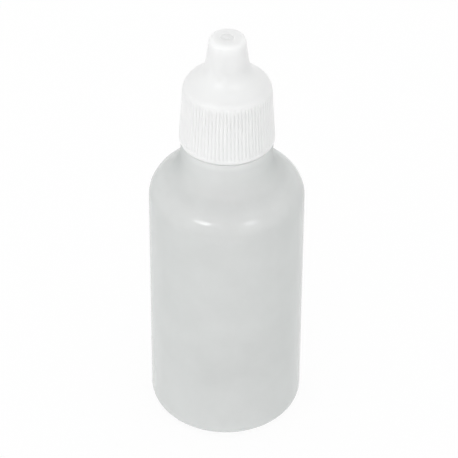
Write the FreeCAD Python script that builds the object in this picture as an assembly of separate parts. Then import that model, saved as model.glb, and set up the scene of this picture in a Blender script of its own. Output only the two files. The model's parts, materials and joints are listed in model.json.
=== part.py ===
import FreeCAD, Part
import math
import os

# A 30 ml squeeze bottle for dispensing drops: a round translucent bottle, a dropper
# plug pushed into its neck, and a ribbed screw cap whose long hollow top covers the
# plug's nozzle. Millimetres, +Z up, origin at the centre of the surface it stands on.

# Bottle
body_radius = 15.5
body_straight_top = 51.8
heel_radius = 2.9
bottle_wall = 1.0
base_rise = 0.9
base_ring_width = 2.0
shoulder_width = 7.44
shoulder_rise = 6.16
shoulder_sweep = 58.0
collar_setback = 0.31
collar_fillet = 4.6
collar_fillet_margin = 0.2
collar_top = 65.6
gate_mark_radius = 1.2
gate_mark_height = 0.35

# Neck finish
neck_radius = 6.6
neck_bore_radius = 5.3
neck_height = 11.7
neck_lip_chamfer = 0.3

# Screw thread, the same helix on the neck and inside the cap
thread_pitch = 2.117
thread_turns = 1.25
thread_depth = 0.7
thread_root_width = 1.15
thread_crest_width = 0.5
thread_below_neck_top = 1.6
thread_root_overlap = 0.08

# Dropper plug
plug_flange_thickness = 0.9
plug_flange_setback = 0.45
plug_barrel_length = 8.0
plug_wall = 0.8
plug_lead_in_length = 0.6
plug_lead_in_depth = 0.3
seal_ring_count = 2
seal_ring_spacing = 2.6
seal_ring_half_width = 0.25
nozzle_base_radius = 3.0
nozzle_tip_radius = 1.7
nozzle_height = 8.3
nozzle_tip_rounding = 0.35
nozzle_wall = 0.85
orifice_radius = 0.45
orifice_length = 1.6

# Screw cap
cap_skirt_wall = 1.08
cap_skirt_taper = 0.73
cap_bore_chamfer = 0.6
cap_rim_rounding = 0.25
cap_crown_thickness = 3.55
cap_shoulder_rise = 3.45
cap_shoulder_rounding = 2.9
cap_nipple_wall = 1.0
cap_nipple_fillet = 6.0
cap_tip_thickness = 1.4
cap_tip_rounding = 1.0
cap_flute_count = 76
cap_flute_depth = 0.2
cap_flute_radius = 0.24
cap_lip_height = 0.8
pin_engagement = 1.2
pin_root_flare = 0.62

# Fits between the pieces
collar_to_cap_clearance = 0.35
plug_bore_clearance = 0.08
seal_ring_clearance = 0.02
cap_seat_clearance = 0.05
thread_clearance = 0.3
nozzle_base_clearance = 0.4
nozzle_tip_clearance = 0.81
nozzle_head_room = 1.5
pin_clearance = 0.07

# Sizes that follow from the ones above
neck_top = collar_top + neck_height
flange_top = neck_top + plug_flange_thickness
nozzle_top = flange_top + nozzle_height
barrel_radius = neck_bore_radius - plug_bore_clearance
thread_start = neck_top - thread_below_neck_top - thread_turns * thread_pitch
cap_bore_radius = neck_radius + thread_depth + thread_clearance
cap_skirt_top_radius = cap_bore_radius + cap_skirt_wall
cap_rim_radius = cap_skirt_top_radius + cap_skirt_taper
cap_bottom = collar_top + collar_to_cap_clearance
cap_seat = flange_top + cap_seat_clearance
cap_shoulder_top = cap_seat + cap_crown_thickness
cap_skirt_top = cap_shoulder_top - cap_shoulder_rise
nipple_base_bore = nozzle_base_radius + nozzle_base_clearance
nipple_tip_bore = nozzle_tip_radius + nozzle_tip_clearance
nipple_tip_radius = nipple_tip_bore + cap_nipple_wall
nipple_ceiling = nozzle_top + nozzle_head_room
cap_top = nipple_ceiling + cap_tip_thickness
collar_radius = cap_rim_radius - collar_setback


def at(radius, height):
    """A point of a half section, which lies in the XZ plane."""
    return FreeCAD.Vector(radius, 0, height)


def line(start, end):
    return Part.makeLine(at(*start), at(*end))


def path(points):
    """Straight edges from point to point."""
    return [line(start, end) for start, end in zip(points, points[1:])]


def arc(start, middle, end):
    return Part.Arc(at(*start), at(*middle), at(*end)).toShape()


def quarter_arc(centre, radius, first_degrees):
    """A quarter circle, anticlockwise from the given direction."""
    points = []
    for degrees in (first_degrees, first_degrees + 45, first_degrees + 90):
        angle = math.radians(degrees)
        points.append((centre[0] + radius * math.cos(angle), centre[1] + radius * math.sin(angle)))
    return arc(*points)


def turned(edges):
    """The solid that a closed half section makes when it turns about the Z axis."""
    section = Part.Face(Part.Wire(edges))
    return section.revolve(FreeCAD.Vector(0, 0, 0), FreeCAD.Vector(0, 0, 1), 360)


def ring_edges(shape, radius, height):
    """The full circles of one radius at one height, for a fillet or chamfer."""
    tolerance = 0.001
    return [edge for edge in shape.Edges
            if abs(edge.CenterOfMass.z - height) < tolerance
            and abs(edge.Length - 2 * math.pi * radius) < tolerance]


def screw_thread(root_radius, depth, start_height):
    """A ridge that winds up a cylinder; a negative depth points it inwards."""
    helix = Part.makeLongHelix(thread_pitch, thread_turns * thread_pitch, root_radius)
    sunk_radius = root_radius - math.copysign(thread_root_overlap, depth)
    corners = [
        at(sunk_radius, -thread_root_width / 2),
        at(root_radius + depth, -thread_crest_width / 2),
        at(root_radius + depth, thread_crest_width / 2),
        at(sunk_radius, thread_root_width / 2),
    ]
    section = Part.makePolygon(corners + corners[:1])
    ridge = Part.Wire(helix.Edges).makePipeShell([section], True, True)
    ridge.translate(FreeCAD.Vector(0, 0, start_height))
    return ridge


def bottle_form(inset):
    """The bottle below its neck, with its whole outline moved inwards by the inset."""
    radius = body_radius - inset
    ring_outer = body_radius - heel_radius
    ring_inner = ring_outer - base_ring_width
    base_centre = (0, base_rise + inset)
    base_middle = (ring_inner * math.sqrt(0.5), base_rise / 2 + inset)

    shoulder_centre = (body_radius - shoulder_width, body_straight_top)
    across = shoulder_width - inset
    up = shoulder_rise - inset
    ellipse = Part.Ellipse(
        at(shoulder_centre[0] + across, shoulder_centre[1]),
        at(shoulder_centre[0], shoulder_centre[1] + up),
        at(*shoulder_centre),
    )
    sweep = math.radians(shoulder_sweep)
    shoulder_end = (
        shoulder_centre[0] + across * math.cos(sweep),
        shoulder_centre[1] + up * math.sin(sweep),
    )

    collar = collar_radius - inset
    slope = up * math.cos(sweep) / (across * math.sin(sweep))
    corner = (collar, shoulder_end[1] + slope * (shoulder_end[0] - collar))
    ceiling = collar_top - inset
    edges = [
        arc(base_centre, base_middle, (ring_inner, inset)),
        line((ring_inner, inset), (ring_outer, inset)),
        quarter_arc((ring_outer, heel_radius), heel_radius - inset, -90),
        line((radius, heel_radius), (radius, body_straight_top)),
        Part.ArcOfEllipse(ellipse, 0, sweep).toShape(),
    ]
    edges += path([shoulder_end, corner, (collar, ceiling), (0, ceiling), base_centre])
    form = turned(edges)
    run = math.dist(shoulder_end, corner) - collar_fillet_margin
    longest_radius = run / math.tan(math.atan2(1, slope) / 2)
    return form.makeFillet(min(collar_fillet + inset, longest_radius), ring_edges(form, *corner))


def make_gate_mark():
    """The low round nub under the middle of the base, left where the plastic was injected."""
    low = base_rise - gate_mark_height
    high = base_rise + bottle_wall / 2
    return Part.makeCylinder(gate_mark_radius, high - low, at(0, low))


def make_bottle():
    """Injection-blown bottle: one thin wall from the base up to the threaded neck."""
    neck = Part.makeCylinder(neck_radius, neck_height, at(0, collar_top))
    neck = neck.makeChamfer(neck_lip_chamfer, ring_edges(neck, neck_radius, neck_top))
    thread = screw_thread(neck_radius, thread_depth, thread_start)
    bore_depth = neck_height + 2 * bottle_wall
    bore = Part.makeCylinder(neck_bore_radius, bore_depth, at(0, neck_top - bore_depth))
    outside = bottle_form(0).fuse([neck, thread])
    hollow = bottle_form(bottle_wall).fuse(bore)
    return outside.cut(hollow).fuse(make_gate_mark()).removeSplitter()


def make_seal_ring(height):
    """A low round bead about the plug's barrel, which seals against the neck's bore."""
    low = height - seal_ring_half_width
    high = height + seal_ring_half_width
    crest = (neck_bore_radius - seal_ring_clearance, height)
    inner = barrel_radius - plug_wall / 2
    edges = [arc((barrel_radius, low), crest, (barrel_radius, high))]
    edges += path([(barrel_radius, high), (inner, high), (inner, low), (barrel_radius, low)])
    return turned(edges)


def make_dropper_plug():
    """Push-in plug: a thin barrel in the neck, a flange on its lip and a tapered nozzle."""
    barrel_bottom = neck_top - plug_barrel_length
    flange_radius = neck_radius - plug_flange_setback
    tip_centre = (nozzle_tip_radius - nozzle_tip_rounding, nozzle_top - nozzle_tip_rounding)
    outside = path([
        (0, barrel_bottom),
        (barrel_radius - plug_lead_in_depth, barrel_bottom),
        (barrel_radius, barrel_bottom + plug_lead_in_length),
        (barrel_radius, neck_top),
        (flange_radius, neck_top),
        (flange_radius, flange_top),
        (nozzle_base_radius, flange_top),
        (nozzle_tip_radius, tip_centre[1]),
    ])
    outside.append(quarter_arc(tip_centre, nozzle_tip_rounding, 0))
    outside += path([(tip_centre[0], nozzle_top), (0, nozzle_top), (0, barrel_bottom)])

    barrel_bore = barrel_radius - plug_wall
    inside = path([
        (0, barrel_bottom - plug_wall),
        (barrel_bore, barrel_bottom - plug_wall),
        (barrel_bore, neck_top - plug_wall),
        (nozzle_base_radius - nozzle_wall, flange_top),
        (orifice_radius, nozzle_top - orifice_length),
        (orifice_radius, nozzle_top + plug_wall),
        (0, nozzle_top + plug_wall),
        (0, barrel_bottom - plug_wall),
    ])
    heights = [neck_top - (index + 1) * seal_ring_spacing for index in range(seal_ring_count)]
    seal_rings = [make_seal_ring(height) for height in heights]
    return turned(outside).fuse(seal_rings).cut(turned(inside)).removeSplitter()


def cap_outside():
    """The cap's outer form: tapered skirt, sloping shoulder and blunt nipple."""
    nipple_base = (nipple_base_bore + cap_nipple_wall, cap_shoulder_top)
    skirt_top = (cap_skirt_top_radius, cap_skirt_top)
    tip_centre = (nipple_tip_radius - cap_tip_rounding, cap_top - cap_tip_rounding)
    nipple_top = (nipple_tip_radius, tip_centre[1])
    edges = path([(0, cap_bottom), (cap_rim_radius, cap_bottom), skirt_top, nipple_base, nipple_top])
    edges.append(quarter_arc(tip_centre, cap_tip_rounding, 0))
    edges += path([(tip_centre[0], cap_top), (0, cap_top), (0, cap_bottom)])
    form = turned(edges)
    form = form.makeFillet(cap_nipple_fillet, ring_edges(form, *nipple_base))
    form = form.makeFillet(cap_shoulder_rounding, ring_edges(form, *skirt_top))
    return form.makeFillet(cap_rim_rounding, ring_edges(form, cap_rim_radius, cap_bottom))


def cap_inside():
    """The cap's hollow: a straight bore over the thread and a tapered one over the nozzle."""
    return turned(path([
        (0, cap_bottom - cap_skirt_wall),
        (cap_bore_radius, cap_bottom - cap_skirt_wall),
        (cap_bore_radius, cap_seat - cap_bore_chamfer),
        (cap_bore_radius - cap_bore_chamfer, cap_seat),
        (nipple_base_bore, cap_seat),
        (nipple_base_bore, cap_shoulder_top),
        (nipple_tip_bore, nipple_ceiling),
        (0, nipple_ceiling),
        (0, cap_bottom - cap_skirt_wall),
    ]))


def make_sealing_pin():
    """The pin under the nipple's ceiling that closes the nozzle's orifice."""
    pin_radius = orifice_radius - pin_clearance
    pin_bottom = nozzle_top - pin_engagement
    root_radius = pin_radius + pin_root_flare
    root_top = nipple_ceiling + cap_tip_thickness / 2
    return turned(path([
        (0, pin_bottom),
        (pin_radius / 2, pin_bottom),
        (pin_radius, pin_bottom + pin_radius),
        (pin_radius, nozzle_top),
        (root_radius, nipple_ceiling),
        (root_radius, root_top),
        (0, root_top),
        (0, pin_bottom),
    ]))


def cap_flutes():
    """Fine upright grooves, cut from the plain lip up into the shoulder's rounding."""
    taper = (cap_rim_radius - cap_skirt_top_radius) / (cap_skirt_top - cap_bottom)
    low = cap_bottom + cap_lip_height
    high = cap_skirt_top
    outward = cap_flute_radius - cap_flute_depth
    start = at(cap_rim_radius - taper * (low - cap_bottom) + outward, low)
    end = at(cap_rim_radius - taper * (high - cap_bottom) + outward, high)
    flute = Part.makeCylinder(cap_flute_radius, (end - start).Length, start, end - start)
    flutes = []
    for index in range(cap_flute_count):
        turned_flute = flute.copy()
        angle = 360 * index / cap_flute_count
        turned_flute.rotate(FreeCAD.Vector(0, 0, 0), FreeCAD.Vector(0, 0, 1), angle)
        flutes.append(turned_flute)
    return flutes


def make_screw_cap():
    """Injection-moulded cap: fluted skirt with the thread inside, nipple and sealing pin."""
    thread = screw_thread(cap_bore_radius, -thread_depth, thread_start - thread_pitch / 2)
    hollow_form = cap_outside().cut(cap_inside())
    fluted = hollow_form.cut(cap_flutes())
    return fluted.fuse([thread, make_sealing_pin()]).removeSplitter()


def main():
    os.makedirs("parts", exist_ok=True)
    pieces = {
        "bottle": make_bottle(),
        "dropper_plug": make_dropper_plug(),
        "screw_cap": make_screw_cap(),
    }
    for name, shape in pieces.items():
        shape.exportStep(f"parts/{name}.step")
        print(name, len(shape.Solids), "solid", shape.isValid(), round(shape.Volume, 1))


main()
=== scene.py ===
import json
import math

import bpy
from mathutils import Matrix, Vector

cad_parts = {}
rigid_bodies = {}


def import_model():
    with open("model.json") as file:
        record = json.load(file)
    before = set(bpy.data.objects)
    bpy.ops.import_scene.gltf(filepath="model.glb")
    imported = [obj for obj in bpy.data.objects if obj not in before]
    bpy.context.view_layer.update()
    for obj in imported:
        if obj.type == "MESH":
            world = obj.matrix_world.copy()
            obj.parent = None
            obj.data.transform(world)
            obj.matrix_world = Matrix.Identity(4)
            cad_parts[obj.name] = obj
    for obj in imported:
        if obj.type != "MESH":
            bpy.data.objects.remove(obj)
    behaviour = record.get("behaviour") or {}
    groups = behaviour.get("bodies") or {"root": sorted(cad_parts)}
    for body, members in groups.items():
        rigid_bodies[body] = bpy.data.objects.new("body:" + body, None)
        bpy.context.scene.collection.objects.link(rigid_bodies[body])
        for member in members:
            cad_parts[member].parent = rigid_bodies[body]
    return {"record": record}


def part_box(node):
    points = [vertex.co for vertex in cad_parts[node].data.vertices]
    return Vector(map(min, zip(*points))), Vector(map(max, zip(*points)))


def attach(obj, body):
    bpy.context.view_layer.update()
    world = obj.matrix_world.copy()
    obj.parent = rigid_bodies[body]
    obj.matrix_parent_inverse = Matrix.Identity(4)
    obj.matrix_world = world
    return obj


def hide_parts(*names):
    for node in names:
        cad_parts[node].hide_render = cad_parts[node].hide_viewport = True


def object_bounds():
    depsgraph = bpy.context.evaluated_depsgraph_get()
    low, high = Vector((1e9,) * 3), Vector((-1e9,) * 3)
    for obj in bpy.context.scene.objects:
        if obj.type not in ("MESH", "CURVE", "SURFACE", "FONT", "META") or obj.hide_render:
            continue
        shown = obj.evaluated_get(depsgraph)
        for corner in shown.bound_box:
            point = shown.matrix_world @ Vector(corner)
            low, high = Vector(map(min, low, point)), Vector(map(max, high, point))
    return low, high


for leftover in list(bpy.data.objects):
    bpy.data.objects.remove(leftover, do_unlink=True)
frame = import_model()
cad_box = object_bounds()
mm = 0.001


# The bottle. One blown wall of soft, milky natural polyethylene: a shallow hollow base with
# the gate's nub at its middle, a straight round body, a full shoulder that runs through a
# wide hollow curve into a low collar, and a narrow threaded neck that the cap covers.

bottle_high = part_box("bottle")[1]
body_mount = next(mount for mount in frame["record"]["mounts"] if mount["name"] == "body_outside")
body_radius = bottle_high.y
body_middle = body_mount["pos_m"][2]
body_half_length = body_mount["dims"]["length_mm"] * mm / 2
body_straight_top = body_middle + body_half_length
heel_radius = body_middle - body_half_length
neck_top = bottle_high.z
bottle_wall = 1.0 * mm
base_rise = 0.9 * mm
base_ring_width = 2.0 * mm
base_ring_rounding = 0.35 * mm
dome_rings = (0.3, 0.5, 0.7, 0.85)
gate_radius = 1.2 * mm
gate_height = 0.35 * mm
gate_rounding = 0.2 * mm
shoulder_width = 7.44 * mm
shoulder_rise = 6.16 * mm
shoulder_sweep = math.radians(58)
shoulder_steps = 18
collar_radius = 9.1 * mm
collar_top = neck_top - 11.7 * mm
collar_fillet = 4.6 * mm
collar_rounding = 0.3 * mm
neck_radius = 6.6 * mm
neck_bore_radius = 5.3 * mm
neck_lip_rounding = 0.3 * mm
parting_line_half_width = 0.12 * mm
parting_line_depth = 0.03 * mm
bottle_sides = 144
bottle_hub_radius = 0.2 * mm
touching = 0.001 * mm
rounding_step = math.radians(8)
fewest_rounding_steps = 3


def rounded(corners):
    """A half section from its corners: each is a radius, a height and, if round, a rounding."""
    points = []
    for before, corner, after in zip(corners[-1:] + corners, corners, corners[1:] + corners[:1]):
        here = Vector(corner[:2])
        if len(corner) == 2:
            points.append(tuple(here))
            continue
        rounding = corner[2]
        back = (Vector(before[:2]) - here).normalized()
        onward = (Vector(after[:2]) - here).normalized()
        half_angle = back.angle(onward) / 2
        centre = here + (back + onward).normalized() * rounding / math.sin(half_angle)
        first = (here + back * rounding / math.tan(half_angle) - centre).normalized()
        last = (here + onward * rounding / math.tan(half_angle) - centre).normalized()
        steps = max(fewest_rounding_steps, round(first.angle(last) / rounding_step))
        for step in range(steps + 1):
            points.append(tuple(centre + first.slerp(last, step / steps) * rounding))
    return points


def choose(piece, test):
    """Selects the vertices whose place passes the test, for the next edit-mode operator."""
    bpy.ops.object.mode_set(mode="EDIT")
    bpy.ops.mesh.select_mode(type="VERT")
    bpy.ops.mesh.select_all(action="DESELECT")
    bpy.ops.object.mode_set(mode="OBJECT")
    for vertex in piece.data.vertices:
        vertex.select = test(vertex.co)
    bpy.ops.object.mode_set(mode="EDIT")


def turn_on_lathe(name, outline, sides, looped=False):
    """Extrudes a ring from point to point of a half section, then closes both its ends."""
    first_radius, first_height = outline[0]
    bpy.ops.object.select_all(action="DESELECT")
    bpy.ops.mesh.primitive_circle_add(vertices=sides, radius=first_radius)
    piece = bpy.context.object
    piece.name = name
    bpy.ops.object.mode_set(mode="EDIT")
    bpy.ops.mesh.select_all(action="SELECT")
    bpy.ops.transform.translate(value=(0, 0, first_height))
    for (radius, height), (next_radius, next_height) in zip(outline, outline[1:]):
        rise = {"value": (0, 0, next_height - height)}
        bpy.ops.mesh.extrude_region_move(TRANSFORM_OT_translate=rise)
        growth = next_radius / radius
        bpy.ops.transform.resize(value=(growth, growth, 1), center_override=(0, 0, 0))
    if looped:
        bpy.ops.mesh.select_all(action="SELECT")
        bpy.ops.mesh.remove_doubles(threshold=touching)
    else:
        bpy.ops.mesh.edge_face_add()
        choose(piece, lambda at: abs(at.z - first_height) < touching
               and abs(at.xy.length - first_radius) < touching)
        bpy.ops.mesh.edge_face_add()
    bpy.ops.mesh.select_all(action="SELECT")
    bpy.ops.mesh.normals_make_consistent(inside=False)
    bpy.ops.object.mode_set(mode="OBJECT")
    return piece


def finish_piece(piece, body, node, finish, smooth_angle=35):
    """Shades the piece, gives it its material, hides the CAD node it stands for and hangs the piece on
    its body.
    """
    bpy.ops.object.select_all(action="DESELECT")
    piece.select_set(True)
    bpy.context.view_layer.objects.active = piece
    bpy.ops.object.shade_smooth_by_angle(angle=math.radians(smooth_angle))
    piece.data.materials.clear()
    piece.data.materials.append(finish)
    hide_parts(node)
    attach(piece, body)


def bottle_side(inset):
    """The wall's half section from the base to the collar, moved in by the inset."""
    ring_outer = body_radius - heel_radius
    ring_inner = ring_outer - base_ring_width
    dome = [(ring_inner * part, inset + base_rise * (1 - part ** 2)) for part in dome_rings]
    foot = [(ring_inner, inset, base_ring_rounding), (body_radius - inset, inset, heel_radius - inset)]
    across = shoulder_width - inset
    up = shoulder_rise - inset
    shoulder = []
    for step in range(shoulder_steps + 1):
        angle = shoulder_sweep * step / shoulder_steps
        radius = body_radius - shoulder_width + across * math.cos(angle)
        shoulder.append((radius, body_straight_top + up * math.sin(angle)))
    slope = up * math.cos(shoulder_sweep) / (across * math.sin(shoulder_sweep))
    collar = collar_radius - inset
    slope_top = shoulder[-1][1] + slope * (shoulder[-1][0] - collar)
    return dome + foot + shoulder + [(collar, slope_top, collar_fillet + inset)]


def bottle_outline():
    """The whole half section: gate, outside, neck, bore, inside and back to the base."""
    nub_bottom = base_rise - gate_height
    ceiling = collar_top - bottle_wall
    gate = [
        (bottle_hub_radius, nub_bottom),
        (gate_radius, nub_bottom, gate_rounding),
        (gate_radius, base_rise),
    ]
    neck = [
        (collar_radius, collar_top, collar_rounding),
        (neck_radius, collar_top, collar_rounding),
        (neck_radius, neck_top, neck_lip_rounding),
        (neck_bore_radius, neck_top, neck_lip_rounding / 2),
        (neck_bore_radius, ceiling, bottle_wall / 2),
        (collar_radius - bottle_wall, ceiling, collar_rounding),
    ]
    floor = [(bottle_hub_radius, base_rise + bottle_wall)]
    return rounded(gate + bottle_side(0) + neck + bottle_side(bottle_wall)[::-1] + floor)


def add_parting_line(piece):
    """Cuts two close loops where the mould's halves met and sinks the line between them."""
    for side in (-1, 1):
        bpy.ops.object.mode_set(mode="EDIT")
        bpy.ops.mesh.select_all(action="SELECT")
        bpy.ops.mesh.bisect(plane_co=(0, side * parting_line_half_width, 0), plane_no=(0, 1, 0))
    wall_middle = body_radius - bottle_wall / 2
    choose(piece, lambda at: abs(at.y) < touching and abs(at.x) > wall_middle
           and at.z > heel_radius / 2)
    growth = 1 - parting_line_depth / body_radius
    bpy.ops.transform.resize(value=(growth, 1, 1), center_override=(0, 0, 0))
    bpy.ops.object.mode_set(mode="OBJECT")


class Wire:
    """A shader socket that takes part in sums: each sum adds a Math node."""

    def __init__(self, graph, socket):
        self.graph = graph
        self.socket = socket

    def sum_with(self, operation, first, second):
        return self.graph.node("ShaderNodeMath", {"operation": operation}, {0: first, 1: second})[0]

    def __add__(self, other):
        return self.sum_with("ADD", self, other)

    def __sub__(self, other):
        return self.sum_with("SUBTRACT", self, other)

    def __rsub__(self, other):
        return self.sum_with("SUBTRACT", other, self)

    def __mul__(self, other):
        return self.sum_with("MULTIPLY", self, other)

    def __rtruediv__(self, other):
        return self.sum_with("DIVIDE", other, self)

    def __pow__(self, other):
        return self.sum_with("POWER", self, other)

    __radd__ = __add__
    __rmul__ = __mul__


class Graph:
    """The nodes of a material or of the world, with one way to add any of them."""

    def __init__(self, tree):
        self.tree = tree

    def feed(self, socket, value):
        if isinstance(value, Wire):
            self.tree.links.new(value.socket, socket)
        else:
            socket.default_value = value

    def node(self, kind, settings=None, inputs=None):
        """Adds a node, then gives its settings and its inputs; its outputs come back as wires."""
        made = self.tree.nodes.new(kind)
        for name, value in (settings or {}).items():
            setattr(made, name, value)
        for name, value in (inputs or {}).items():
            self.feed(made.inputs[name], value)
        wires = {name: Wire(self, socket) for name, socket in made.outputs.items()}
        wires.update({index: Wire(self, socket) for index, socket in enumerate(made.outputs)})
        return wires


class Finish(Graph):
    """A material as it is mixed, with its shader and its place on the object."""

    def __init__(self, name):
        self.material = bpy.data.materials.new(name)
        self.material.use_nodes = True
        super().__init__(self.material.node_tree)
        self.shader = self.tree.nodes["Principled BSDF"]
        self.place = self.node("ShaderNodeTexCoord")["Object"]

    def noise(self, size, detail=2.0, along=1.0):
        """Soft random patches as wide as the size, drawn out along the bottle's axis."""
        scale = (1 / size, 1 / size, 1 / (size * along))
        placed = self.node("ShaderNodeMapping", None, {"Vector": self.place, "Scale": scale})
        inputs = {"Vector": placed["Vector"], "Scale": 1.0, "Detail": detail}
        return self.node("ShaderNodeTexNoise", None, inputs)[0]

    def climb(self, start, end):
        """Goes from 0 at the first height above the table to 1 at the second."""
        height = self.node("ShaderNodeSeparateXYZ", None, {"Vector": self.place})["Z"]
        inputs = {"Value": height, "From Min": start, "From Max": end}
        return self.node("ShaderNodeMapRange", None, inputs)["Result"]

    def between(self, part, first, second):
        """A colour part of the way from the first to the second."""
        inputs = {0: part}
        for socket, colour in ((6, first), (7, second)):
            inputs[socket] = colour if isinstance(colour, Wire) else colour + (1,)
        return self.node("ShaderNodeMix", {"data_type": "RGBA"}, inputs)[2]

    def relief(self, height, depth):
        """Feeds a bump of the given depth to the shader's normal."""
        bump = self.node("ShaderNodeBump", None, {"Height": height, "Distance": depth})
        self.feed(self.shader.inputs["Normal"], bump["Normal"])

    def set(self, **values):
        for name, value in values.items():
            self.feed(self.shader.inputs[name.replace("_", " ")], value)


milk_face_on = ((0.85, 0.87, 0.862), (0.88, 0.9, 0.892))
# Painted shade: the milk colour for where the wall is seen edge-on is a darker grey.
milk_painted_edge_shade = ((0.43, 0.45, 0.442), (0.46, 0.48, 0.472))
gloss_fades = (56.4 * mm, 57.6 * mm)
# Heights where the wall grows cloudier: partly a thicker wall, partly painted light that lifts the
# shade at the shoulder, the heel and under the cap's rim.
shoulder_thicker_painted_lift = (53 * mm, 58.5 * mm)
heel_thicker_painted_lift = (18 * mm, 2 * mm)
neck_thicker_painted_lift = (64 * mm, 65.6 * mm)


def milky_polyethylene():
    """Natural low-density polyethylene: grey-white, cloudy, satin, and faintly see-through."""
    finish = Finish("milky_polyethylene")
    cloud = finish.noise(size=7 * mm, detail=3)
    flow = finish.noise(size=1.6 * mm, detail=2, along=9)
    grain = finish.noise(size=0.25 * mm, detail=2)
    ripple = finish.noise(size=9 * mm, detail=1, along=2)
    tone = cloud * 0.7 + flow * 0.3
    slant = finish.node("ShaderNodeLayerWeight", None, {"Blend": 0.5})["Facing"]
    # A thicker wall lets less through, and so does one that is looked at along its length. The extra
    # cloudiness at the shoulder, heel and neck makes them brighter. It is partly a thicker wall and
    # partly painted light that lifts the shade there.
    thin = 0.44 - 0.08 * cloud - 0.2 * finish.climb(*shoulder_thicker_painted_lift)
    thin = thin - 0.13 * finish.climb(*heel_thicker_painted_lift) - 0.15 * finish.climb(*neck_thicker_painted_lift)
    clearness = thin ** (1 / (1.02 - slant))
    face_on = finish.between(tone, *milk_face_on)
    edge_shade_colour = finish.between(tone, *milk_painted_edge_shade)
    finish.set(
        # Painted shade: the colour turns darker grey the more edge-on the wall is seen.
        Base_Color=finish.between(slant, face_on, edge_shade_colour),
        Roughness=0.42 + 0.1 * cloud + 0.05 * grain,
        Alpha=1 - clearness,
        IOR=1.51,
        Coat_Weight=0.8 - 0.75 * finish.climb(*gloss_fades),
        Coat_Roughness=0.18,
        Subsurface_Weight=1.0,
        Subsurface_Radius=(1.0, 1.0, 1.0),
        Subsurface_Scale=3.0 * mm,
        Specular_IOR_Level=0.15,
    )
    finish.relief(ripple * 0.6 + grain * 0.03, 0.06 * mm)
    return finish.material


bottle_finish = milky_polyethylene()
bottle = turn_on_lathe("bottle_wall", bottle_outline(), bottle_sides)
add_parting_line(bottle)
finish_piece(bottle, "container", "bottle", bottle_finish)


# The neck's thread. A single ridge of one and a quarter turns, blown with the neck, whose
# ends run down into it.

thread_pitch = 2.117 * mm
thread_turns = 1.25
thread_depth = 0.7 * mm
thread_root_width = 1.15 * mm
thread_crest_width = 0.5 * mm
thread_rounding = 0.12 * mm
thread_overlap = 0.08 * mm
thread_steps = 120
thread_run_out_steps = 9
thread_run_out_share = 0.95
neck_thread_start = neck_top - 1.6 * mm - thread_turns * thread_pitch


def wind_thread(name, root_radius, depth, start):
    """Shapes the ridge's section from a plane, winds it up with Screw and fades its ends."""
    bpy.ops.object.select_all(action="DESELECT")
    bpy.ops.mesh.primitive_plane_add(size=1, rotation=(math.pi / 2, 0, 0))
    piece = bpy.context.object
    piece.name = name
    bpy.ops.object.transform_apply(rotation=True)
    crest_radius = root_radius + depth
    sunk_radius = root_radius - math.copysign(thread_overlap, depth)
    crest = (1, crest_radius, thread_crest_width)
    root = (-1, sunk_radius, thread_root_width)
    for side, radius, width in (crest, root):
        choose(piece, lambda at: at.x * side > 0)
        bpy.ops.transform.resize(value=(0, 0, width), center_override=(0, 0, 0))
        bpy.ops.transform.translate(value=(radius, 0, start))
    bpy.ops.mesh.select_all(action="SELECT")
    bpy.ops.mesh.bevel(offset=thread_rounding, segments=3, affect="VERTICES")
    bpy.ops.mesh.delete(type="ONLY_FACE")
    bpy.ops.object.mode_set(mode="OBJECT")
    section = len(piece.data.vertices)
    screw = piece.modifiers.new("wind", "SCREW")
    screw.angle = thread_turns * 2 * math.pi
    screw.screw_offset = thread_turns * thread_pitch
    screw.steps = thread_steps
    screw.render_steps = thread_steps
    bpy.ops.object.modifier_apply(modifier=screw.name)
    ring_at = {}
    for vertex in piece.data.vertices:
        ring_at[tuple(vertex.co)] = vertex.index // section
    last = max(ring_at.values())
    for step in range(thread_run_out_steps):
        sink = depth * (1 - step / thread_run_out_steps) * thread_run_out_share
        shrink = 1 - sink / crest_radius
        for ring in (step, last - step):
            choose(piece, lambda at: ring_at.get(tuple(at)) == ring)
            bpy.ops.transform.resize(value=(shrink, shrink, 1), center_override=(0, 0, 0))
    bpy.ops.mesh.select_all(action="DESELECT")
    bpy.ops.mesh.select_non_manifold()
    bpy.ops.mesh.fill_holes(sides=0)
    bpy.ops.mesh.select_all(action="SELECT")
    bpy.ops.mesh.normals_make_consistent(inside=False)
    bpy.ops.object.mode_set(mode="OBJECT")
    return piece


neck_thread = wind_thread("neck_thread", neck_radius, thread_depth, neck_thread_start)
finish_piece(neck_thread, "container", "bottle", bottle_finish)


# The dropper plug. A push-in moulding of natural polyethylene: a thin barrel with two seal
# rings, held in the neck's bore, a flange that rests on the neck's lip, and a tapered
# nozzle with a fine orifice that forms the drops.

plug_low, plug_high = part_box("dropper_plug")
flange_radius = plug_high.x
barrel_bottom = plug_low.z
nozzle_top = plug_high.z
flange_top = neck_top + 0.9 * mm
barrel_radius = neck_bore_radius - 0.08 * mm
barrel_bore = barrel_radius - 0.8 * mm
barrel_bore_top = neck_top - 0.8 * mm
barrel_bore_rounding = 0.4 * mm
lead_in_depth = 0.3 * mm
lead_in_length = 0.6 * mm
lead_in_rounding = 0.5 * mm
barrel_edge_rounding = 0.05 * mm
seal_ring_crest = neck_bore_radius - 0.02 * mm
seal_ring_half_width = 0.25 * mm
seal_ring_heights = (neck_top - 5.2 * mm, neck_top - 2.6 * mm)
seal_ring_half_steps = 4
nozzle_base_radius = 3.0 * mm
nozzle_base_fillet = 0.5 * mm
nozzle_tip_radius = 1.7 * mm
nozzle_tip_rounding = 0.35 * mm
nozzle_bore_base = 2.15 * mm
orifice_radius = 0.45 * mm
orifice_length = 1.6 * mm
orifice_flare = 0.15 * mm
plug_rounding = 0.2 * mm
plug_sides = 96


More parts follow.
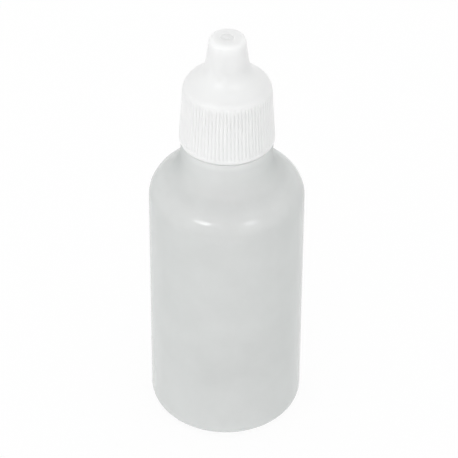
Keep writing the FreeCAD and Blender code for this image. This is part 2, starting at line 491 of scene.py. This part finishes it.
def seal_ring(middle):
    """A low round swell of the barrel about a height."""
    points = []
    for step in range(-seal_ring_half_steps, seal_ring_half_steps + 1):
        part = step / seal_ring_half_steps
        swell = (seal_ring_crest - barrel_radius) * math.cos(math.pi * part / 2) ** 2
        points.append((barrel_radius + swell, middle + seal_ring_half_width * part))
    return points


def plug_outline():
    """The half section as a loop: up the outside, over the tip and down the bore."""
    barrel = [
        (barrel_bore, barrel_bottom),
        (barrel_radius - lead_in_depth, barrel_bottom, barrel_edge_rounding),
        (barrel_radius, barrel_bottom + lead_in_length, lead_in_rounding),
    ]
    for height in seal_ring_heights:
        barrel += seal_ring(height)
    nozzle = [
        (barrel_radius, neck_top),
        (flange_radius, neck_top, plug_rounding),
        (flange_radius, flange_top, plug_rounding),
        (nozzle_base_radius, flange_top, nozzle_base_fillet),
        (nozzle_tip_radius, nozzle_top, nozzle_tip_rounding),
    ]
    inside = [
        (orifice_radius + orifice_flare, nozzle_top),
        (orifice_radius, nozzle_top - orifice_flare),
        (orifice_radius, nozzle_top - orifice_length),
        (nozzle_bore_base, flange_top),
        (barrel_bore, barrel_bore_top, barrel_bore_rounding),
    ]
    return rounded(barrel + nozzle + inside) + [(barrel_bore, barrel_bottom)]


plug_greys = ((0.71, 0.725, 0.72), (0.77, 0.785, 0.775))


def plug_polyethylene():
    """The same natural polyethylene as the bottle's, thicker and so nearly opaque."""
    finish = Finish("plug_polyethylene")
    cloud = finish.noise(size=2.5 * mm, detail=3)
    grain = finish.noise(size=0.2 * mm, detail=2)
    finish.set(
        Base_Color=finish.between(cloud, *plug_greys),
        Roughness=0.32 + 0.12 * cloud,
        IOR=1.51,
        Coat_Weight=0.25,
        Coat_Roughness=0.15,
    )
    finish.relief(grain * 0.5 + cloud, 0.02 * mm)
    return finish.material


dropper_plug = turn_on_lathe("dropper_plug_moulding", plug_outline(), plug_sides, looped=True)
finish_piece(dropper_plug, "plug", "dropper_plug", plug_polyethylene())


# The screw cap. One injection moulding of white polypropylene: a tapered skirt with fine
# flutes above a plain lip, a rounded shoulder and a tall blunt nipple with the gate's dimple
# on top. Inside are the thread, the crown's seat and the pin that plugs the orifice.

cap_low, cap_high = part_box("screw_cap")
cap_bottom = cap_low.z
cap_top = cap_high.z
cap_bore_radius = 7.6 * mm
cap_bore_chamfer = 0.6 * mm
cap_bore_lead_in = 0.3 * mm
cap_inner_rounding = 0.3 * mm
cap_skirt_top_radius = cap_bore_radius + 1.08 * mm
cap_rim_radius = cap_skirt_top_radius + 0.73 * mm
cap_seat = flange_top + 0.05 * mm
cap_shoulder_top = cap_seat + 3.55 * mm
cap_skirt_top = cap_shoulder_top - 3.45 * mm
cap_shoulder_rounding = 2.9 * mm
cap_nipple_base_radius = 4.4 * mm
cap_nipple_tip_radius = 3.51 * mm
cap_nipple_wall = 1.0 * mm
cap_nipple_fillet = 6.0 * mm
cap_nipple_bore_rounding = 0.15 * mm
cap_tip_rounding = 1.0 * mm
cap_rim_rounding = 0.25 * mm
cap_ceiling = cap_top - 1.4 * mm
cap_hub_radius = 0.1 * mm
cap_gate_radius = 0.45 * mm
cap_gate_rounding = 0.04 * mm
cap_dimple_radius = 1.2 * mm
cap_dimple_depth = 0.16 * mm
cap_dimple_rounding = 0.1 * mm
cap_dimple_edge_rounding = 0.2 * mm
pin_radius = 0.38 * mm
pin_root_radius = 1.0 * mm
pin_tip = nozzle_top - 1.2 * mm
flute_count = 76
flute_depth = 0.2 * mm
flute_bottom = cap_bottom + 0.8 * mm
flute_top = cap_skirt_top - 1.5 * mm
flute_foot = ((0, 0), (0.06 * mm, 0.5), (0.16 * mm, 0.85), (0.32 * mm, 1))
flute_flank_share = 0.72
flute_rows = 4
sides_per_flute = 6
ring_spacing = 0.01 * mm


def cap_skirt_radius(height):
    taper = (cap_rim_radius - cap_skirt_top_radius) / (cap_skirt_top - cap_bottom)
    return cap_rim_radius - taper * (height - cap_bottom)


def flute_heights():
    """Heights of the skirt's rings, close together where the flutes start above the lip."""
    foot = [flute_bottom + rise for rise, depth_share in flute_foot]
    length = flute_top - flute_bottom
    return foot + [flute_bottom + length * (row + 1) / flute_rows for row in range(flute_rows)]


def cap_outline():
    """The half section from the gate at the top, down the outside and up the inside."""
    dimple_floor = cap_top - cap_dimple_depth
    gate_top = cap_top - cap_dimple_depth / 2
    outside = [
        (cap_hub_radius, gate_top),
        (cap_gate_radius, gate_top, cap_gate_rounding),
        (cap_gate_radius, dimple_floor),
        (cap_dimple_radius, dimple_floor, cap_dimple_rounding),
        (cap_dimple_radius + cap_dimple_depth, cap_top, cap_dimple_edge_rounding),
        (cap_nipple_tip_radius, cap_top, cap_tip_rounding),
        (cap_nipple_base_radius, cap_shoulder_top, cap_nipple_fillet),
        (cap_skirt_top_radius, cap_skirt_top, cap_shoulder_rounding),
    ]
    outside += [(cap_skirt_radius(height), height) for height in reversed(flute_heights())]
    bore = [
        (cap_rim_radius, cap_bottom, cap_rim_rounding),
        (cap_bore_radius + cap_bore_lead_in, cap_bottom),
        (cap_bore_radius, cap_bottom + cap_bore_lead_in),
        (cap_bore_radius, cap_seat - cap_bore_chamfer, cap_inner_rounding),
        (cap_bore_radius - cap_bore_chamfer, cap_seat, cap_inner_rounding),
    ]
    nipple_and_pin = [
        (cap_nipple_base_radius - cap_nipple_wall, cap_seat, cap_nipple_bore_rounding),
        (cap_nipple_base_radius - cap_nipple_wall, cap_shoulder_top),
        (cap_nipple_tip_radius - cap_nipple_wall, cap_ceiling, cap_inner_rounding),
        (pin_root_radius, cap_ceiling),
        (pin_radius, nozzle_top),
        (pin_radius, pin_tip + pin_radius),
        (pin_radius / 2, pin_tip),
        (cap_hub_radius, pin_tip),
    ]
    return rounded(outside + bore + nipple_and_pin)


def on_skirt(at):
    return at.xy.length > cap_bore_radius + cap_bore_lead_in and at.z < cap_skirt_top


def flute_depth_share(height):
    """How much of its full depth a flute has at a height: none at the lip, all further up."""
    share_there = 0
    for rise, depth_share in flute_foot:
        if height > flute_bottom + rise - ring_spacing:
            share_there = depth_share
    return share_there


def cut_flutes(piece):
    """Draws every flute's floor and flanks inwards, ring by ring, up into the shoulder."""
    step_angle = 2 * math.pi / (flute_count * sides_per_flute)
    floor = ((0,), 1)
    flanks = ((1, sides_per_flute - 1), flute_flank_share)
    rings = {}
    for vertex in piece.data.vertices:
        if on_skirt(vertex.co):
            rings[round(vertex.co.z / ring_spacing) * ring_spacing] = vertex.co.xy.length
    for height, radius in rings.items():
        for sides, share in (floor, flanks):
            full_cut = flute_depth * share
            spare = radius - (cap_skirt_radius(height) - full_cut)
            cut = min(max(spare, 0), full_cut) * flute_depth_share(height)

            def on_flute(at):
                side = round(math.atan2(at.y, at.x) / step_angle) % sides_per_flute
                return on_skirt(at) and abs(at.z - height) < ring_spacing and side in sides

            if cut > 0:
                choose(piece, on_flute)
                shrink = 1 - cut / radius
                bpy.ops.transform.resize(value=(shrink, shrink, 1), center_override=(0, 0, 0))
    bpy.ops.object.mode_set(mode="OBJECT")


cap_whites = ((0.80, 0.805, 0.803), (0.83, 0.835, 0.832))


def white_polypropylene():
    """White moulded polypropylene: clean, soft-edged and a little less than glossy."""
    finish = Finish("white_polypropylene")
    cloud = finish.noise(size=5 * mm, detail=2)
    grain = finish.noise(size=0.4 * mm)
    finish.set(
        Base_Color=finish.between(cloud, *cap_whites),
        Roughness=0.3 + 0.06 * cloud + 0.04 * grain,
        IOR=1.49,
        Specular_IOR_Level=0.3,
        Subsurface_Weight=1.0,
        Subsurface_Radius=(1.0, 1.0, 1.0),
        Subsurface_Scale=2.0 * mm,
    )
    finish.relief(grain, 0.004 * mm)
    return finish.material


cap_finish = white_polypropylene()
cap = turn_on_lathe("screw_cap_moulding", cap_outline(), flute_count * sides_per_flute)
cut_flutes(cap)
finish_piece(cap, "cap", "screw_cap", cap_finish, smooth_angle=50)

cap_thread_start = neck_thread_start - thread_pitch / 2
cap_thread = wind_thread("cap_thread", cap_bore_radius, -thread_depth, cap_thread_start)
finish_piece(cap_thread, "cap", "screw_cap", cap_finish)


# The table top. A wide pale matt sheet under the bottle. It glows white to the eye, with a
# small share of its own shading left, which keeps a trace of the bottle's soft shadow.

floor_size = 6.0
floor_glow_share = 0.92
floor_whites = ((0.93, 0.93, 0.93), (0.95, 0.95, 0.95))
white = (1, 1, 1, 1)


def seen_directly(graph):
    """One for rays from the eye, also by way of a reflection or through the wall."""
    ray = graph.node("ShaderNodeLightPath")
    return ray["Is Camera Ray"] + ray["Is Glossy Ray"] + ray["Is Transmission Ray"]


def pale_sheet():
    finish = Finish("pale_sheet")
    cloud = finish.noise(size=300 * mm)
    finish.set(Base_Color=finish.between(cloud, *floor_whites), Roughness=0.8)
    glow = finish.node("ShaderNodeEmission", None, {"Color": white, "Strength": 1.0})
    sheet = Wire(finish, finish.shader.outputs[0])
    shares = {0: seen_directly(finish) * floor_glow_share, 1: sheet, 2: glow[0]}
    mixed = finish.node("ShaderNodeMixShader", None, shares)[0]
    finish.feed(finish.tree.nodes["Material Output"].inputs["Surface"], mixed)
    return finish.material


bpy.ops.object.select_all(action="DESELECT")
bpy.ops.mesh.primitive_plane_add(size=floor_size)
table_top = bpy.context.object
table_top.name = "table_top"
table_top.data.materials.append(pale_sheet())


# The light. Two small soft boxes above the bottle, left and right of the camera, show only
# as highlights. A broad low fill from in front and a dim ceiling panel give the soft
# shading, in an even white room.

aim_below_middle = 1.8 * mm
aim = Vector((0, 0, (cad_box[0].z + cad_box[1].z) / 2 - aim_below_middle))
room_level = 0.95


def add_lamp(name, azimuth, elevation, distance, width, height, radiance, highlights_only):
    """A lamp that faces the bottle, left or right of the camera by the azimuth."""
    around = math.radians(azimuth)
    up = math.radians(elevation)
    away = Vector((math.sin(around) * math.cos(up), -math.cos(around) * math.cos(up), math.sin(up)))
    lamp = bpy.data.lights.new(name, "AREA")
    lamp.shape = "RECTANGLE"
    lamp.size = width
    lamp.size_y = height
    lamp.energy = radiance * math.pi * width * height
    holder = bpy.data.objects.new(name, lamp)
    holder.location = aim + away * distance
    holder.rotation_euler = away.to_track_quat("Z", "Y").to_euler()
    holder.visible_diffuse = not highlights_only
    holder.visible_glossy = highlights_only
    bpy.context.scene.collection.objects.link(holder)


add_lamp("left_soft_box", azimuth=-36.5, elevation=34, distance=1.15,
         width=0.42, height=0.24, radiance=12, highlights_only=True)
add_lamp("right_soft_box", azimuth=36.5, elevation=35.5, distance=1.15,
         width=0.28, height=0.22, radiance=11, highlights_only=True)
add_lamp("front_fill", azimuth=-20, elevation=10, distance=1.6,
         width=1.4, height=0.8, radiance=1.6, highlights_only=False)
add_lamp("ceiling_panel", azimuth=0, elevation=89, distance=1.5,
         width=1.2, height=1.2, radiance=0.25, highlights_only=False)

room = bpy.data.worlds.new("white_room")
bpy.context.scene.world = room
room.use_nodes = True
sky = Graph(room.node_tree)
level = {"Value": seen_directly(sky), "To Min": room_level, "To Max": 1.0}
backdrop = room.node_tree.nodes["Background"]
sky.feed(backdrop.inputs["Strength"], sky.node("ShaderNodeMapRange", None, level)["Result"])
sky.feed(backdrop.inputs["Color"], white)


# The camera. A long lens that looks down on the bottle from in front, turned a little about
# its own axis.

camera_distance = 0.5115
camera_elevation = math.radians(38.5)
camera_roll = 0.005
frame_pixels = 458

camera = bpy.data.cameras.new("camera")
camera.sensor_width = 36
camera.lens = 200.1
camera.shift_x = 2.44 / frame_pixels
camera.clip_start = 0.01
viewer = bpy.data.objects.new("camera", camera)
toward = Vector((0, -math.cos(camera_elevation), math.sin(camera_elevation)))
turn = toward.to_track_quat("Z", "Y").to_matrix().to_4x4()
roll = Matrix.Rotation(camera_roll, 4, "Z")
viewer.matrix_world = Matrix.Translation(aim + toward * camera_distance) @ turn @ roll
bpy.context.scene.collection.objects.link(viewer)
bpy.context.scene.camera = viewer
bpy.context.scene.view_settings.view_transform = "Standard"
